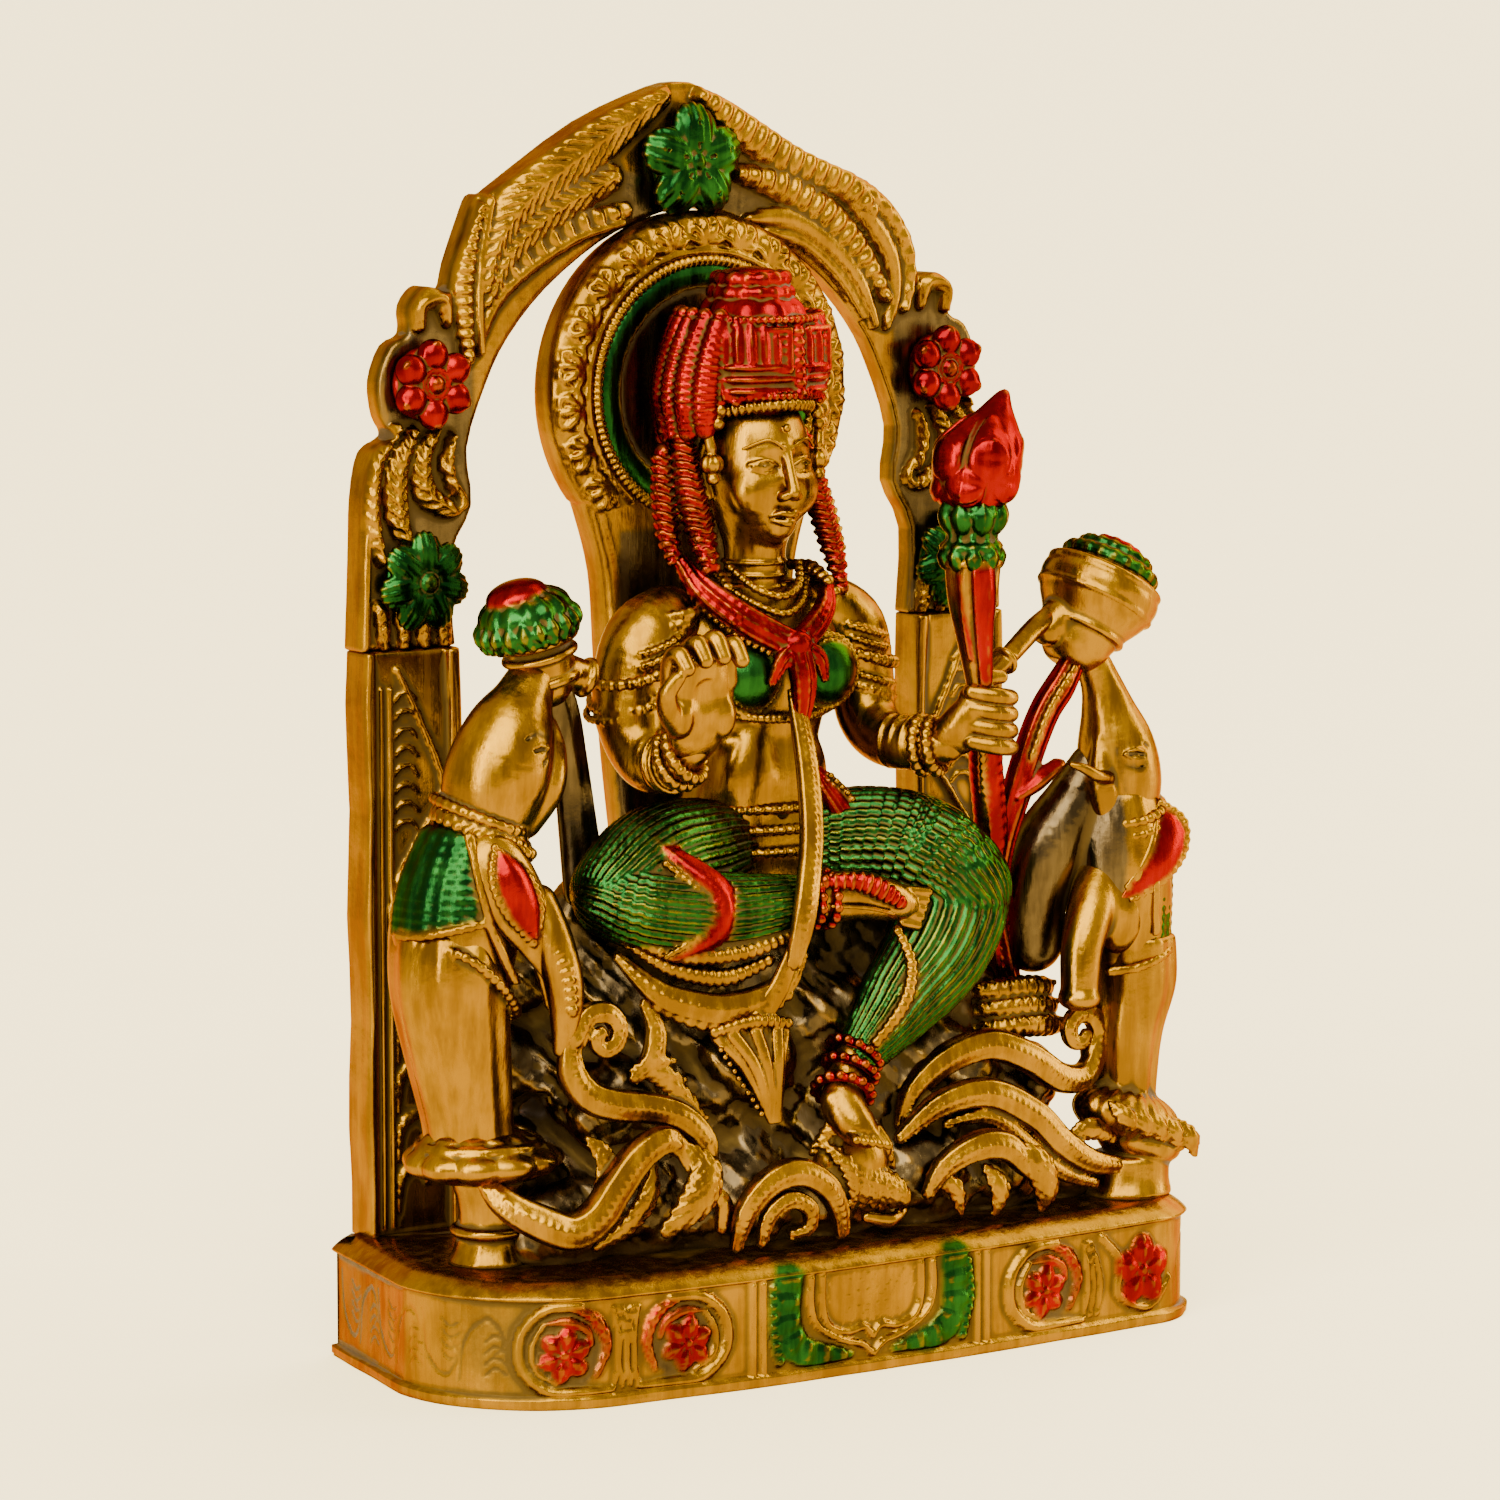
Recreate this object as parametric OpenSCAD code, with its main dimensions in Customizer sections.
// Seated goddess under a leaf arch, with two elephants, on a bow-fronted base.
// Millimetres, +Z up, the figure faces -Y. The origin is the middle of the underside.

/* [Base] */
// Widest part of the base, side to side
base_w = 140; // [136:1:150]
// Base from the back plane to the front of the bow
base_d = 58; // [56:1:64]
// Height of the base's top face
base_h = 19.5; // [18.5:0.1:20]
// Radius of the left front corner
left_corner_r = 26; // [20:1:28]
// Radius of the right front corner
right_corner_r = 13; // [8:1:20]
// How far the frieze lies behind the bands
frieze_inset = 0.9; // [0.5:0.1:1.5]

/* [Arch] */
// Height of the arch's point above the table
total_h = 200; // [198:1:206]
// Width over the two columns
arch_w = 123; // [120:1:126]
// Thickness of the arch plate
arch_t = 7.5; // [6:0.5:9]
// Width of one column
column_w = 18; // [16:0.5:19]
// Height at which the crest is joined to the columns
crest_joint_z = 112; // [108:1:116]

/* [Halo] */
// Radius of the round part of the halo
halo_r = 28.5; // [26:0.5:29.5]
// Height of the halo's centre
halo_z = 151; // [149:0.5:152]
// Front face of the halo, from the back plane
halo_front = 10.5; // [9:0.5:12]

/* [Figure] */
// Half width of the face
face_r = 8.6; // [7.5:0.1:9.5]
// Half width of the crown
crown_r = 10.4; // [9:0.1:11.5]
// Thickness of the upper arms
arm_r = 6.2; // [5:0.1:7]
// Thickness of the thighs
thigh_r = 9.3; // [8:0.1:10]

/* [Lotus and pots] */
// Radius of the lotus bud
bud_r = 7.3; // [6:0.1:8]
// Radius of each water pot
pot_r = 8.6; // [7:0.1:9]

/* [Hidden] */
column_x = arch_w / 2 - column_w;
tenon = [8, 3.5, 5];
tenon_gap = 0.1;
scroll_flat = 0.75;
gold = [0.85, 0.6, 0.12];
red = [0.7, 0.08, 0.08];
green = [0.05, 0.45, 0.15];
dark = [0.14, 0.11, 0.07];

// ---- Geometry helpers ----

// Every place is given as [x, depth in front of the back plane, z, radius]
function y_at(depth) = base_d / 2 - depth;
function unit(v) = v / norm(v);
function spot(q) = [q[0], y_at(q[1]), q[2]];

// Catmull-Rom curve through a list of points of any length
function spline(a, b, c, d, t) =
    0.5 * (2 * b + (c - a) * t + (2 * a - 5 * b + 4 * c - d) * t * t
    + (3 * b - a - 3 * c + d) * t * t * t);
function smooth(p, steps) = let (last = len(p) - 1) concat(
    [for (i = [0 : last - 1], k = [0 : steps - 1])
        spline(p[max(i - 1, 0)], p[i], p[i + 1], p[min(i + 2, last)], k / steps)],
    [p[last]]);

// Frames carried along a path without twist
function heading(p, i) = unit(spot(p[min(i + 1, len(p) - 1)]) - spot(p[max(i - 1, 0)]));
function frames(p, up, i = 0) = i == len(p) ? [] :
    let (t = heading(p, i), u = unit(up - t * (t * up)))
    concat([[u, cross(t, u)]], frames(p, u, i + 1));

// Rounded limb along [x, depth, z, radius] points; flat squeezes it along the depth
module limb(points, flat = 1, sides = 10, steps = 3) {
    path = smooth(points, steps);
    axes = frames(path, [0, 1, 0.001]);
    ring_at = [for (i = [0 : len(path) - 1]) [for (k = [0 : sides - 1])
        let (a = 360 * k / sides, r = path[i][3])
        spot(path[i]) + axes[i][0] * (r * flat * cos(a)) - axes[i][1] * (r * sin(a))]];
    skin(ring_at);
}

// Closed solid through rings of equal length, wound outwards whichever way they run
module skin(rings) {
    n = len(rings[0]);
    last = len(rings) - 1;
    flip = volume_sign(rings) < 0;
    sides = [for (i = [0 : last - 1], k = [0 : n - 1]) let (m = (k + 1) % n) each [
        [i * n + k, i * n + m, (i + 1) * n + m], [i * n + k, (i + 1) * n + m, (i + 1) * n + k]]];
    ends = [[for (k = [0 : n - 1]) n - 1 - k], [for (k = [0 : n - 1]) last * n + k]];
    faces = concat(sides, ends);
    polyhedron([for (r = rings) each r],
        [for (f = faces) flip ? f : [for (k = [len(f) - 1 : -1 : 0]) f[k]]]);
}
function middle(r) = [for (c = [0 : 2]) let (s = [for (q = r) q[c]]) s * [for (q = r) 1] / len(r)];
function volume_sign(rings) =
    let (a = middle(rings[0]), b = middle(rings[1]), r = rings[0])
    cross(r[0] - a, r[1] - a) * (b - a);

// Lofted body through [x, depth, z, half width, half depth] rings
module body(rings, sides = 16, steps = 2, square = 1) {
    skin([for (q = smooth(rings, steps)) [for (k = [0 : sides - 1])
        let (a = 360 * k / sides, c = cos(a), s = sin(a))
        [q[0] + q[3] * sign(c) * pow(abs(c), square), y_at(q[1]) - q[4] * sign(s) * pow(abs(s), square),
            q[2]]]]);
}

// Overlapping forms of one casting, joined into one skin
module cast() {
    resize([0, 0, 0]) children();
}

// Ring of round section, lying square to a direction
module band(centre, direction, r, thick, squash = 1) {
    d = unit([direction[0], -direction[1], direction[2]]);
    translate(spot(centre)) rotate([0, acos(d[2]), atan2(d[1], d[0])]) scale([squash, 1, 1])
        rotate_extrude($fn = 24) translate([r, 0]) circle(r = thick, $fn = 8);
}

function arc(c, r, a0, a1, n) = [for (i = [0 : n]) let (a = a0 + (a1 - a0) * i / n)
    c + r * [cos(a), sin(a)]];

// ---- Base ----

// Plan of the base: straight back, rounded front corners and a shallow bow
module base_plan(inset) {
    w = base_w / 2 - inset;
    back = y_at(0);
    front = y_at(base_d) + inset;
    bow = 2.2;
    l = left_corner_r;
    r = right_corner_r;
    polygon(concat([[w - 5, back], [-w + 5, back]],
        arc([-w + l, front + bow + l], l, 180, 262, 12),
        [[-w / 3, front + 0.3], [0, front], [w / 3, front + 0.3]],
        arc([w - r, front + bow + r], r, 278, 360, 8)));
}

module base_plinth() {
    band_h = 2.6;
    lip = base_h - 4.5;
    color(gold) {
        linear_extrude(band_h) base_plan(0);
        translate([0, 0, band_h]) linear_extrude(lip - band_h) base_plan(frieze_inset);
        translate([0, 0, lip]) linear_extrude(base_h - lip) base_plan(0.5);
    }
}

// ---- Arch ----

// Upright plate cut to a 2D outline, from one depth to another
module plate(depth0, depth1) {
    translate([0, y_at(depth0), 0]) rotate([90, 0, 0]) linear_extrude(depth1 - depth0) children();
}

module tenon_block(side, grow) {
    size = tenon + [2 * grow, 2 * grow, grow];
    translate([side * (column_x + column_w / 2) - size[0] / 2, y_at(arch_t / 2) - size[1] / 2,
        crest_joint_z - tenon[2] - grow]) cube(size);
}

module column(side) {
    outer = arch_w / 2;
    color(gold) difference() {
        union() {
            plate(0, arch_t - 1.5) polygon([[side * outer, base_h], [side * outer, crest_joint_z],
                [side * column_x, crest_joint_z], [side * column_x, base_h]]);
            for (x = [outer - 1.5, column_x + 1.5])
                plate(0, arch_t) translate([side * x, (base_h + crest_joint_z) / 2])
                    square([3, crest_joint_z - base_h], center = true);
        }
        tenon_block(side, tenon_gap);
    }
}
module left_column() { column(-1); }
module right_column() { column(1); }

outer_edge = smooth([[arch_w / 2, crest_joint_z], [arch_w / 2 - 1.5, 135], [arch_w / 2 - 7, 157],
    [44, 172], [29, 185.5], [13, 194.5], [0, total_h]], 4);
inner_edge = smooth([[column_x, crest_joint_z], [column_x, 132], [37, 152], [26, 167], [12, 177],
    [0, 180]], 4);

module arch_crest() {
    half = concat(outer_edge, [for (i = [len(inner_edge) - 1 : -1 : 0]) inner_edge[i]]);
    color(gold) {
        for (m = [0, 1]) mirror([m, 0, 0]) plate(0, arch_t) polygon(half);
        for (side = [-1, 1]) tenon_block(side, 0);
    }
}

// Flower of round petals on a disc, facing forward
module rosette(x, z, r, petals, shade) {
    depth = arch_t + 0.6;
    petal_r = r * sin(180 / petals) * 0.98;
    color(shade) {
        plate(arch_t - 1, depth) translate([x, z]) circle(r = r * 0.72, $fn = 24);
        for (k = [0 : petals - 1]) let (a = 90 + 360 * k / petals)
            translate([x + (r - petal_r) * cos(a), y_at(depth), z + (r - petal_r) * sin(a)])
                rotate([90, 0, 0]) cylinder(h = 1.4, r1 = petal_r, r2 = petal_r * 0.6, $fn = 16);
        translate([x, y_at(depth), z]) rotate([90, 0, 0]) cylinder(h = 2.2, r = r * 0.22, $fn = 16);
    }
}
module crest_rosette() { rosette(-1, 186.8, 8, 5, green); }
module left_upper_rosette() { rosette(-49.5, 153.5, 6.9, 6, red); }
module right_upper_rosette() { rosette(48.5, 152.5, 6.9, 6, red); }
module left_lower_rosette() { rosette(-51, 122.5, 7.4, 9, green); }
module right_lower_rosette() { rosette(51, 120.5, 7.4, 9, green); }

// ---- Halo ----

module halo_plate() {
    neck_w = 17;
    tail = smooth([[24.5, halo_z - 14.5], [20.5, 118], [neck_w, 100], [14, 72]], 3);
    outline = concat(arc([0, halo_z], halo_r, -30, 210, 30), [for (q = tail) [-q[0], q[1]]],
        [for (i = [len(tail) - 1 : -1 : 0]) tail[i]]);
    color(gold) {
        plate(1.5, halo_front - 1) polygon(outline);
        plate(halo_front - 1, halo_front) intersection() {
            polygon(outline);
            difference() {
                translate([0, halo_z]) circle(r = halo_r, $fn = 48);
                translate([0, halo_z]) circle(r = halo_r - 6, $fn = 48);
            }
        }
    }
}

module halo_bead_ring() {
    color(gold) translate([0, y_at(halo_front), halo_z]) rotate([90, 0, 0])
        rotate_extrude($fn = 48) translate([halo_r - 7.4, 0]) circle(r = 1.2, $fn = 8);
}

// ---- Figure ----

module throne() {
    color(dark) body([[2, 24, base_h - 1, 48, 19], [2, 25, 30, 48, 20], [3, 25, 45, 45, 18],
        [4, 24, 58, 42, 16], [2, 22, 68, 38, 14], [0, 20, 76, 30, 11]], sides = 24, steps = 1,
        square = 0.8);
}

module torso() {
    color(gold) cast() {
        body([[0, 23, 74, 17, 11], [0, 24, 82, 15.5, 11], [0, 24, 92, 11.5, 8.5], [0, 24, 102, 13, 9],
            [0, 24, 111, 15.5, 9], [0, 23, 117, 16, 7.5], [0, 23, 121, 8, 5.5]]);
        for (cup = [[-7.2, 107.8], [8, 108.2]]) translate(spot([cup[0], 30.5, cup[1]]))
            sphere(r = 6, $fn = 14);
    }
}

module head() {
    color(gold) cast() {
        body([[0, 25, 118, 6.5, 5.5], [0.2, 24.5, 124, 5, 5], [0.4, 24.5, 129, 5, 5]], steps = 1);
        body([[0.6, 28, 126.8, 2.2, 3], [0.6, 27, 130, face_r * 0.72, 8], [0.4, 25.5, 136, face_r * 0.97,
            9.8], [0.2, 24.5, 143, face_r, 10.4], [0, 24, 150, face_r * 0.95, 9.8]]);
    }
}

module crown() {
    color(red) cast() {
        body([[0, 23.5, 148.6, crown_r, 10.8], [0, 23.5, 156, crown_r, 10.6], [-0.5, 23, 164,
            crown_r * 0.93, 9.4], [-1, 22.5, 166.5, crown_r * 0.8, 8]], square = 0.72);
        body([[-1.5, 22, 165.5, 7.5, 7], [-1.5, 22, 168, 7.8, 7.2], [-1.5, 22, 170, 5.5, 5]], steps = 1);
        limb([[-9.5, 19, 164, 4], [-12.5, 18, 156, 5], [-12.5, 18, 148, 4.2], [-11, 18, 142, 2.5]]);
    }
}

module hair_braids() {
    color(red) cast() {
        limb([[-11.2, 22, 144, 3.4], [-12, 24, 136, 3.6], [-13, 26, 129, 3.2], [-14, 28, 123, 2.4]]);
        limb([[9.5, 20, 140, 2.6], [10.8, 24, 131, 3], [12.5, 26, 124, 2.8], [14.5, 27, 118, 2]]);
    }
}

module ear_ornaments() {
    color(gold) for (side = [-1, 1]) {
        translate(spot([side * 10.6, 26, 148.6])) rotate([90, 0, side * 50])
            cylinder(h = 3, r = 3, center = true, $fn = 16);
        translate(spot([side * 9.8, 26.5, 140])) sphere(r = 2.2, $fn = 16);
    }
}

module bead_necklace() {
    color(gold) cast() for (drop = [0, 2.6])
        limb([[-6.5 - drop / 2, 27, 124.5 - drop, 0.9], [-4, 31 + drop / 3, 121.5 - drop, 0.9],
            [0, 32.6 + drop / 2, 120 - drop, 1], [4.5, 31 + drop / 3, 121.5 - drop, 0.9],
            [7 + drop / 2, 27, 124.5 - drop, 0.9]], sides = 6);
}

module red_scarf() {
    color(red) cast() {
        limb([[-14, 27, 124, 2], [-10.5, 31.5, 118.5, 2.4], [-5, 35, 114, 2.6], [1.3, 36.2, 109.6, 2.2]],
            flat = 0.6, sides = 8);
        limb([[12, 28, 124, 2], [9.5, 32, 118.5, 2.4], [5, 35.2, 114, 2.6], [-2.2, 36.8, 108.9, 2]],
            flat = 0.6, sides = 8);
        limb([[-0.3, 36, 114.4, 2.4], [-0.9, 37.2, 106, 2.7], [-1.5, 36.5, 99, 1.4]], flat = 0.62, sides = 8);
    }
}

module waist_belt() {
    color(gold) cast() {
        body([[0, 24, 79, 16.8, 12.6], [0, 24, 81, 17.2, 13], [0, 24, 84.5, 15.8, 12],
            [0, 24, 87, 13.8, 10.4]], steps = 1);
        limb([[6, 33, 90, 1.4], [9, 35.5, 86, 3], [12, 36, 82, 2]], flat = 0.6, sides = 8);
    }
}

module sash() {
    color(gold) limb([[-2.5, 34, 104, 1.6], [-3.5, 39, 97, 2], [-4.5, 43, 88, 2.2], [-5.2, 46.5, 80, 2.3],
        [-6.5, 48, 72, 2.3], [-8, 48, 66, 2]], flat = 0.6, sides = 8);
}

module sash_fan() {
    color(gold) limb([[-9, 46.5, 64, 2], [-12, 46.5, 57, 2.6], [-14, 47, 50, 3.2], [-16.2, 48, 41, 4.8]],
        flat = 0.4, sides = 8);
}

module garland() {
    color(gold) limb([[-35, 41, 66.5, 1.2], [-30, 43.5, 61.5, 2], [-21.5, 45.5, 58.8, 2.4],
        [-13, 46.8, 60.5, 2], [-7.5, 47.5, 65, 1.2]], flat = 0.8, sides = 8);
}

module right_arm() {
    color(gold) limb([[-16.5, 23.5, 116.5, 6], [-21, 24, 113, 7], [-24.5, 25, 105, arm_r],
        [-24.5, 27, 98, 5.4], [-24.3, 31, 94.6, 5], [-23.8, 36, 95, 4.4], [-23, 40, 98, 3.7]]);
}

module right_hand() {
    color(gold) cast() {
        limb([[-22.6, 41, 98, 3.4], [-22.8, 42.5, 102, 5.2], [-23.4, 43.5, 108, 6.2], [-23.8, 44, 112, 5.6]],
            flat = 0.5);
        for (k = [0 : 3]) let (x = -28.4 + 3 * k)
            limb([[x, 44, 110, 1.6], [x + 0.3, 45.5, 115, 1.6], [x + 0.8, 47, 117.5 - abs(k - 1.5), 1.2]],
                sides = 6, steps = 2);
        limb([[-27.5, 43, 103, 1.7], [-30, 45, 107, 1.6], [-29.6, 46.5, 110, 1.2]], sides = 6, steps = 2);
    }
}

module left_arm() {
    color(gold) limb([[14.5, 23.5, 116.5, 6], [18, 24, 113, 6.6], [20.2, 24.5, 105, arm_r * 0.9],
        [20, 26.5, 98.5, 5], [20, 31, 95.6, 4.8], [21.2, 37, 94.6, 4.2], [24.4, 42, 95.4, 3.6]]);
}

module left_hand() {
    color(gold) cast() {
        limb([[24, 42, 95.5, 3.2], [26.5, 44.5, 98, 4.4], [29, 46, 100.5, 4.6], [30, 46, 104, 3.4]],
            flat = 0.8);
        for (k = [0 : 3]) let (z = 104 - 2.9 * k)
            limb([[27, 47, z, 1.6], [30, 49, z - 0.4, 1.6], [33.5, 48, z - 1, 1.5], [33.8, 45.5, z - 1, 1.2]],
                sides = 6, steps = 2);
    }
}

module bracelets() {
    color(gold) {
        band([-23.2, 39.2, 97], [0.4, 0.75, 0.5], 4.2, 1.2);
        band([23.4, 40.6, 95.2], [0.55, 0.8, 0.15], 4.1, 1.2);
        band([-23.6, 24.6, 109], [-0.3, 0.1, -0.9], 6.6, 1.2);
        band([19.6, 24.4, 109], [0.25, 0.1, -0.9], 6.1, 1.2);
    }
}

module folded_leg() {
    color(green) limb([[-10, 27, 80, 7], [-19, 32, 79.6, thigh_r], [-28, 34.5, 78, thigh_r],
        [-34.5, 36, 75.6, 6.6], [-33, 39.5, 72.2, 5.6], [-24, 42, 71.4, 6], [-12, 43.5, 72, 5.6],
        [-4, 44, 73, 4]], sides = 12);
}

module folded_foot() {
    color(gold) limb([[-6, 44, 73, 3.4], [0, 45, 73.4, 3.6], [6, 46, 73.6, 3.4], [11, 46.4, 73.2, 2.8],
        [15, 46.4, 72.6, 1.4]], flat = 0.8);
}

module hanging_leg() {
    color(green) limb([[9, 27, 79, 7.5], [16, 34, 78.5, thigh_r], [23, 40.5, 76, thigh_r * 1.05],
        [25, 43, 71, 9], [20, 44.5, 64, 8.4], [13, 45, 57, 7], [7, 45.5, 51, 4.8], [4, 46, 47.6, 3.4]],
        sides = 12);
}

module hanging_foot() {
    color(gold) limb([[4.5, 46, 49, 3.2], [1.8, 47.5, 44.5, 3.6], [-0.4, 49.5, 41, 4], [0.6, 52, 38, 3.6],
        [2, 54, 35.6, 2]], flat = 0.9);
}

module anklets() {
    color(red) {
        band([4.2, 46.2, 48.4], [-0.7, 0.2, -0.8], 4, 1.2);
        band([0.4, 48.4, 43], [-0.5, 0.5, -0.7], 4.3, 1.3);
        band([-3, 44.6, 73.2], [1, 0.15, 0], 4, 1.2);
    }
}

// ---- Lotus and water ----

module lotus_stem() {
    color(gold) limb([[26, 46, 124.8, 5], [26.6, 46, 118, 3.8], [27.6, 46, 110, 2.5],
        [29.6, 46, 100, 2.4], [32.2, 43, 92, 2.6], [36, 40, 82, 2.6], [39.5, 36.5, 72, 2.6],
        [43, 33, 60, 2.6], [44.5, 31, 53, 2.6]]);
}

module lotus_calyx() {
    tilt = 4;
    color(green) translate(spot([26.2, 46, 124.6])) rotate([0, tilt, 0]) rotate_extrude($fn = 24)
        polygon([[0, 0], [4.6, 0], [5.2, 1.6], [4.4, 3], [5, 4.6], [5.4, 6.6], [4.6, 8.6], [0, 9.4]]);
}

module lotus_bud() {
    color(red) body([[27, 46, 132.8, 3.6, 3.6], [27.3, 46, 136, bud_r * 0.86, bud_r * 0.86],
        [27.8, 46, 140, bud_r, bud_r], [29, 46, 144.5, bud_r * 0.82, bud_r * 0.82],
        [31.4, 46, 148.4, 2.8, 2.8], [33.6, 46, 150.6, 0.6, 0.6]], sides = 12);
}

module water_spout() {
    color(gold) limb([[30.5, 44.6, 107.6, 1.8], [36, 43.6, 110.6, 2], [42, 41.5, 113.4, 2.2],
        [46.5, 40, 114.6, 2.4]], sides = 8);
}

module red_stream() {
    color(red) cast() {
        limb([[50.5, 41, 107.5, 2.2], [46.5, 41, 101, 2.3], [42, 40.5, 94, 2.3], [41, 38.5, 85, 2.3],
            [42, 36, 75, 2.4], [45, 33, 64, 2.6], [47, 31, 54, 2.6]], sides = 8);
        limb([[41.4, 40.4, 91, 1.8], [45, 41.5, 92.4, 1.8], [49, 42.5, 92, 1.6]], sides = 8);
    }
}

module left_stream() {
    color(dark) limb([[-41.5, 28, 111, 2.4], [-36.5, 25.5, 103, 2.4], [-34, 24, 93, 2.2],
        [-34.5, 24, 84, 2.4], [-36, 26, 74, 2.8]], sides = 8);
}

// ---- Water pots ----

// Ringed barrel along the local Z axis
module barrel(r, h) {
    rotate_extrude($fn = 32) polygon(concat([[0, 0]],
        [for (k = [0 : 16]) let (t = k / 16)
            [r * (0.62 + 0.38 * sin(180 * t)) - (k % 4 == 0 ? 0.5 : 0), h * t]], [[0, h]]));
}

module left_pot() {
    color(gold) translate(spot([-42.4, 30, 108.5])) rotate([0, -22, 0]) {
        cylinder(h = 9, r1 = 4.6, r2 = 5.8, $fn = 24);
        translate([0, 0, 3]) rotate_extrude($fn = 24) translate([5, 0]) circle(r = 1.1, $fn = 8);
    }
}

module left_pot_cap() {
    color(green) translate(spot([-45.6, 30, 116])) rotate([0, -22, 0]) rotate_extrude($fn = 32)
        polygon([[0, 0], [pot_r * 0.8, 0], [pot_r, 1.8], [pot_r, 3.4], [pot_r * 0.8, 5.4],
            [pot_r * 0.45, 6.8], [pot_r * 0.4, 8.6], [0, 9.4]]);
}

module right_pot() {
    color(gold) translate(spot([45.5, 40, 112.8])) rotate([0, 60, 0]) barrel(pot_r, 17.5);
}

module right_pot_cap() {
    color(green) translate(spot([60.2, 40, 121])) rotate([0, 50, 0]) rotate_extrude($fn = 32)
        polygon([[0, 0], [pot_r * 0.72, 0], [pot_r * 0.66, 1.8], [pot_r * 0.4, 3.4], [0, 4]]);
}

// ---- Left elephant ----

module left_elephant_body() {
    color(gold) body([[-59, 29, 66, 8.6, 9.5], [-58.6, 29, 72, 10.2, 11], [-57.5, 29.5, 79, 9.8, 10.4],
        [-55.5, 30.5, 85, 8, 8.6], [-54.2, 31, 91, 7.6, 7.8]]);
}

module left_elephant_head() {
    color(gold) cast() {
        body([[-54, 31, 87.4, 6, 6.4], [-53.4, 31.5, 91, 8.2, 8.4], [-52.6, 32, 96.5, 8.4, 8.4],
            [-51.4, 32, 101.5, 6, 6.6], [-50.6, 32, 103.6, 3, 3]]);
        limb([[-50, 35, 96.5, 5], [-47.2, 36, 98, 4.8], [-46, 34.5, 103, 4.2], [-43.6, 32, 107.5, 3.9],
            [-41.6, 30.4, 111.5, 3.6]]);
    }
}

module left_elephant_ear() {
    color(gold) limb([[-58, 38.5, 86, 2], [-56, 40.5, 82.5, 4.8], [-54, 41, 77.5, 5.4],
        [-52, 40.6, 72.6, 3.4], [-51, 40, 69.6, 1.4]], flat = 0.4);
}

module left_elephant_leg() {
    color(gold) body([[-57.4, 31, 38, 7, 7], [-58.2, 31, 44, 7.2, 7.2], [-60, 31, 54, 9, 9],
        [-60.6, 31, 63, 9.4, 9.8], [-60, 30, 71, 9.2, 10]]);
}

module left_elephant_foreleg() {
    color(gold) limb([[-50, 40, 76, 3.4], [-48.6, 42, 69, 3.4], [-47.8, 43.5, 62, 3], [-48.4, 44, 57, 2.4]]);
}

module left_elephant_foot() {
    color(gold) {
        translate(spot([-56, 31, 33.4])) rotate_extrude($fn = 32)
            polygon([[0, 0], [8, 0], [11.6, 1.6], [11.6, 3.6], [9, 5.6], [0, 5.6]]);
        translate(spot([-56, 31, base_h - 0.5])) rotate_extrude($fn = 24)
            polygon([[0, 0], [6.6, 0], [6, 3], [4.6, 8], [5.6, 14.4], [0, 14.4]]);
    }
}

module left_saddle_cloth() {
    color(green) body([[-60.6, 28, 70, 9.4, 11.4], [-60.4, 28, 74, 9.6, 11.8], [-59.4, 28.4, 80, 9.4, 11],
        [-58, 29, 84.5, 7.6, 9]]);
}

// ---- Right elephant ----

module right_elephant_body() {
    color(gold) body([[62, 40, 58, 6.5, 7.5], [61.4, 40, 65, 8, 8.6], [60.8, 40.4, 73, 8.4, 9],
        [60, 41, 80, 7.4, 7.8], [59, 41, 85, 7, 7]]);
}

module right_elephant_head() {
    color(gold) cast() {
        body([[59, 41, 80.6, 5.5, 5.8], [59.4, 41.4, 84, 7.6, 7.6], [60, 41.6, 90, 7.6, 7.6],
            [60.6, 41.6, 95, 5.2, 5.6], [60.6, 41.6, 97, 2.6, 2.6]]);
        limb([[56, 44, 88, 4.6], [54.4, 44.5, 90.5, 4.4], [55.4, 43.6, 96, 4.2], [55.4, 42, 102, 3.8],
            [54, 40.6, 108.6, 3.4]]);
    }
}

module right_elephant_ear() {
    color(gold) limb([[64.6, 46.5, 82, 1.8], [63.6, 48, 79, 4], [62, 48.4, 74, 4.8], [60, 48, 69, 2.8],
        [59, 47.6, 66.6, 1.2]], flat = 0.4);
}

module right_elephant_leg() {
    color(gold) cast() {
        body([[62.2, 42, 30, 4.6, 5], [62.4, 42, 36, 4.8, 5.2], [62.6, 42, 48, 6, 6.4],
            [62.4, 41, 60, 6.8, 7.4]]);
        body([[61, 42.6, base_h - 0.5, 7.5, 8], [61.4, 42.6, 24, 6, 6.6], [61.8, 42.6, 28, 7.6, 8],
            [62.6, 42.4, 32, 5.4, 5.8]], steps = 1);
    }
}

module right_elephant_foreleg() {
    color(gold) limb([[52.5, 43.5, 70, 4.6], [49, 46, 64, 4.4], [47, 47.5, 58, 4.2], [46.6, 48, 53, 3.2]]);
}

module right_saddle_cloth() {
    color(green) body([[62.6, 38, 62, 6.8, 9], [62.2, 38, 66, 7.2, 9.6], [61.4, 38.4, 72, 8.2, 9.8],
        [61.4, 39, 77, 7.2, 8.6]]);
}

// ---- Throne carving ----

// Spiral head of a scroll, as path points that wind inwards
function volute(x, depth, z, r0, from, turns, width) = [for (k = [0 : 5]) let (t = k / 5,
    a = from + 360 * turns * t, r = r0 * (1 - 0.8 * t)) [x + r * cos(a), depth, z + r * sin(a), width]];

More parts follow.
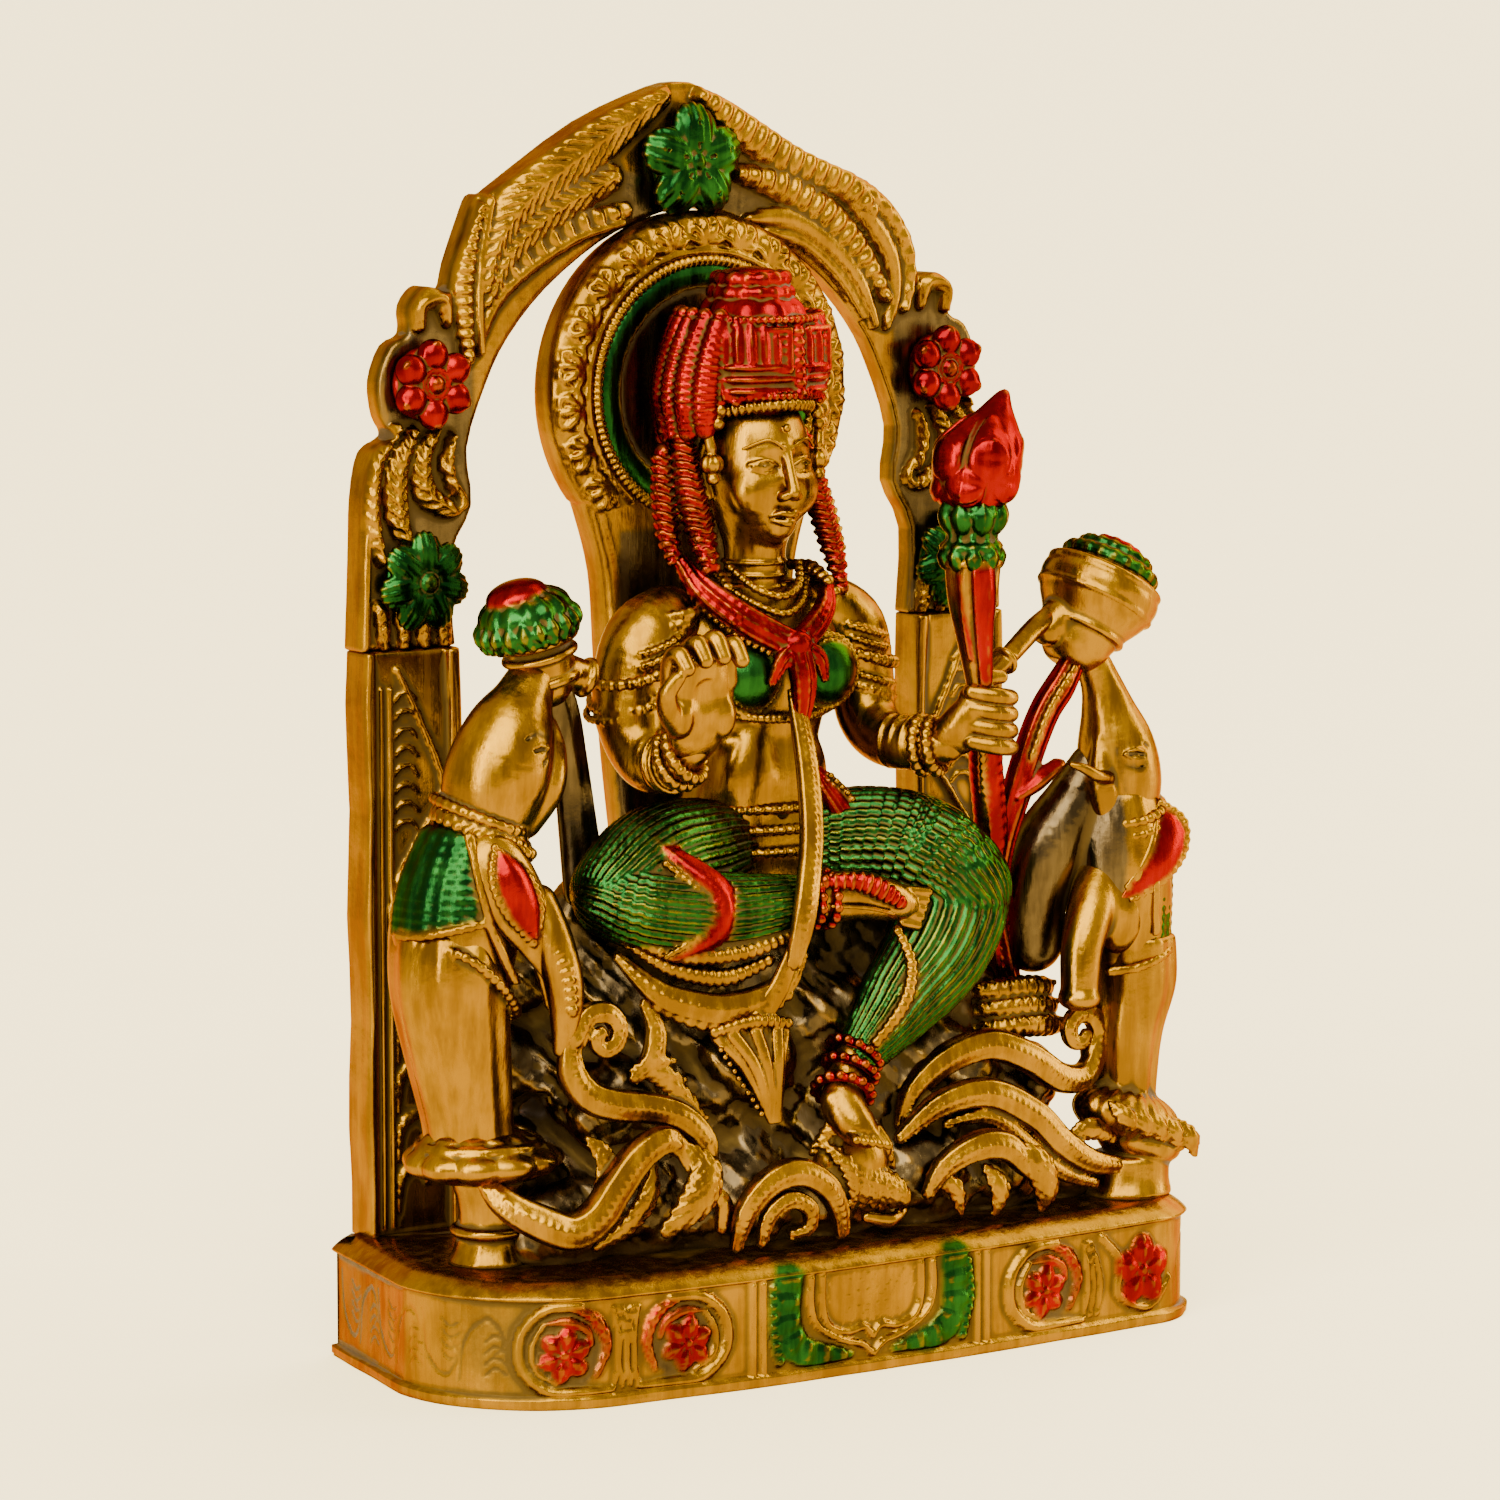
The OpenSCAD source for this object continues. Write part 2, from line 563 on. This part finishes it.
module left_scrolls() {
    color(gold) cast() {
        limb(volute(-39.5, 43, 53.5, 5, 60, -0.9, 1.9), flat = scroll_flat, sides = 8, steps = 2);
        limb([[-39, 43, 58.5, 2], [-32.5, 43.5, 56.5, 2.6], [-30.8, 44, 51, 2.8], [-33, 44.5, 45.5, 2.8],
            [-29.5, 44.5, 39.5, 2.6], [-22, 44.5, 36, 2]], flat = scroll_flat, sides = 8);
        limb([[-59, 41, 33, 2], [-57, 43, 27.6, 2.8], [-50.5, 45.5, 24.6, 3], [-43, 46.5, 27.5, 3],
            [-37.5, 46.5, 34.5, 2.8], [-31, 46.5, 38.5, 2.2]], flat = scroll_flat, sides = 8);
        limb([[-38, 46, 37, 1.8], [-35, 48.5, 33, 3.4], [-32.6, 49.5, 28.6, 3], [-32, 49, 24, 1.2]],
            flat = scroll_flat, sides = 8);
    }
}

module right_scrolls() {
    color(gold) cast() {
        limb(volute(50.5, 42, 46, 4.4, 120, 0.9, 1.8), flat = scroll_flat, sides = 8, steps = 2);
        limb([[48.5, 42, 50, 2], [42, 42.5, 48.6, 2.8], [34, 43, 47.6, 3], [24, 44, 44.6, 2.8],
            [14, 44.5, 39, 2]], flat = scroll_flat, sides = 8);
        limb([[13, 46, 34.5, 2.4], [21, 46.5, 39, 2.8], [32, 46.5, 38, 3], [44, 46, 31.5, 2.8],
            [55, 45.5, 25.4, 2.4]], flat = scroll_flat, sides = 8);
        limb([[15, 49, 23, 2.2], [21, 49.5, 28, 2.8], [30, 49.5, 30.4, 3], [39, 49, 27, 3],
            [48, 47.5, 22.6, 2.2]], flat = scroll_flat, sides = 8);
    }
}

module centre_scroll() {
    color(gold) cast() {
        limb([[-19.5, 49, 23.4, 1.6], [-16.8, 50, 28.6, 2.4], [-11.5, 50.5, 29.6, 2.6],
            [-8, 50.5, 24.6, 2]], flat = scroll_flat, sides = 8);
        body([[1, 46, 21, 6, 4.5], [2.4, 47.5, 27, 6.6, 5.5], [1.2, 47.5, 33, 6.8, 5.5],
            [-0.6, 46.5, 38, 4.4, 4]], sides = 12);
    }
}

module right_cushion() {
    color(gold) cast() for (k = [0 : 2])
        limb([[33 + k, 35 - k, 46 + 3.6 * k, 1.6], [38, 37 - k, 46.4 + 3.6 * k, 2.4],
            [46, 37 - k, 46.4 + 3.6 * k, 2.4], [51 - k, 35 - k, 46 + 3.6 * k, 1.6]], sides = 8);
}

base_plinth();
left_column();
right_column();
arch_crest();
crest_rosette();
left_upper_rosette();
right_upper_rosette();
left_lower_rosette();
right_lower_rosette();
halo_plate();
halo_bead_ring();
throne();
torso();
head();
crown();
hair_braids();
ear_ornaments();
bead_necklace();
red_scarf();
waist_belt();
sash();
sash_fan();
garland();
right_arm();
right_hand();
left_arm();
left_hand();
bracelets();
folded_leg();
folded_foot();
hanging_leg();
hanging_foot();
anklets();
lotus_stem();
lotus_calyx();
lotus_bud();
water_spout();
left_elephant_body();
left_elephant_head();
left_elephant_ear();
left_elephant_leg();
left_elephant_foreleg();
left_elephant_foot();
left_saddle_cloth();
left_pot();
left_pot_cap();
right_elephant_body();
right_elephant_head();
right_elephant_ear();
right_elephant_leg();
right_elephant_foreleg();
right_saddle_cloth();
right_pot();
right_pot_cap();
red_stream();
left_stream();
left_scrolls();
right_scrolls();
centre_scroll();
right_cushion();
